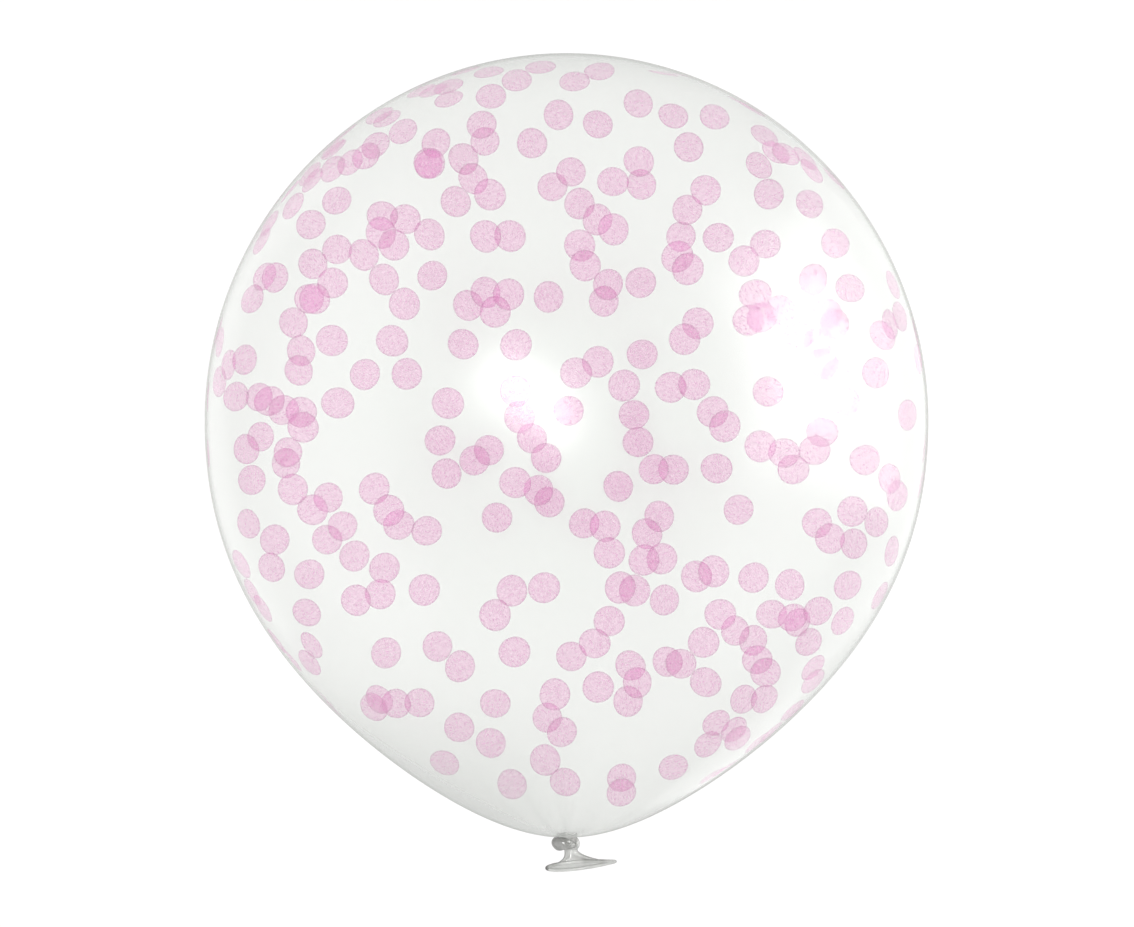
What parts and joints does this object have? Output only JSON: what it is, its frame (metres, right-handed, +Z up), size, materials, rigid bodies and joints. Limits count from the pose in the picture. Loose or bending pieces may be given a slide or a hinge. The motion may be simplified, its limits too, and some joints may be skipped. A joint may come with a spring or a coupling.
{
  "type": "confetti balloon",
  "caption": "Large round clear latex balloon, air-filled and knotted, with pink tissue confetti clinging inside, lying on its side.",
  "frame": {"origin": "middle of the flat spot the balloon rests on, straight below its widest section", "axes": "+Y along the balloon's long axis towards the crown, so the knot and mouth are at -Y; +Z up; +X to the right, seen from above with the crown pointing away"},
  "size_m": [0.6, 0.6789, 0.597],
  "materials": {
    "clear_latex": "clear, glossy, faintly milky",
    "tissue_confetti": "matt translucent tissue paper"
  },
  "bodies": {
    "root": {"balloon": "clear_latex"}
  },
  "joints": []
}
